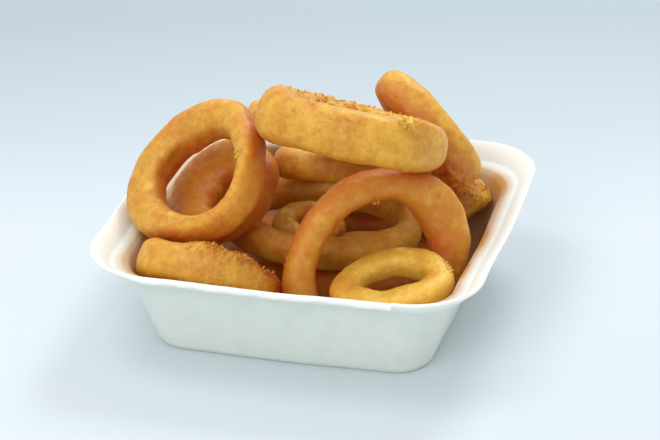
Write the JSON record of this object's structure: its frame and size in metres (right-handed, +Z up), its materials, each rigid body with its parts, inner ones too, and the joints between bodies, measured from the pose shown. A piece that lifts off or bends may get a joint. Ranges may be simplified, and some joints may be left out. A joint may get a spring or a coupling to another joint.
{
  "type": "tray of onion rings",
  "caption": "Heap of battered, deep-fried onion rings of uneven size in an open square tray of moulded pulp with a stepped rim.",
  "frame": {"origin": "centre of the tray's base, on the surface it stands on", "axes": "+Z up, -Y towards the front of the tray, where the torn hinge strip hangs, +X to the right seen from the front"},
  "size_m": [0.152, 0.149, 0.095],
  "materials": {
    "pressed_pulp": "matt, faintly fibrous moulded pulp",
    "fried_batter": "golden fried batter with a faint oily sheen"
  },
  "bodies": {
    "root": {"tray": "pressed_pulp", "ring_left": "fried_batter", "ring_top": "fried_batter", "ring_right": "fried_batter", "ring_front": "fried_batter", "ring_front_small": "fried_batter", "ring_front_left": "fried_batter", "ring_middle": "fried_batter", "ring_back_right": "fried_batter", "ring_under_top": "fried_batter", "ring_inner_small": "fried_batter", "ring_behind_left": "fried_batter", "ring_bottom": "fried_batter", "ring_back": "fried_batter", "ring_bottom_left": "fried_batter", "ring_bottom_back": "fried_batter"}
  },
  "joints": []
}
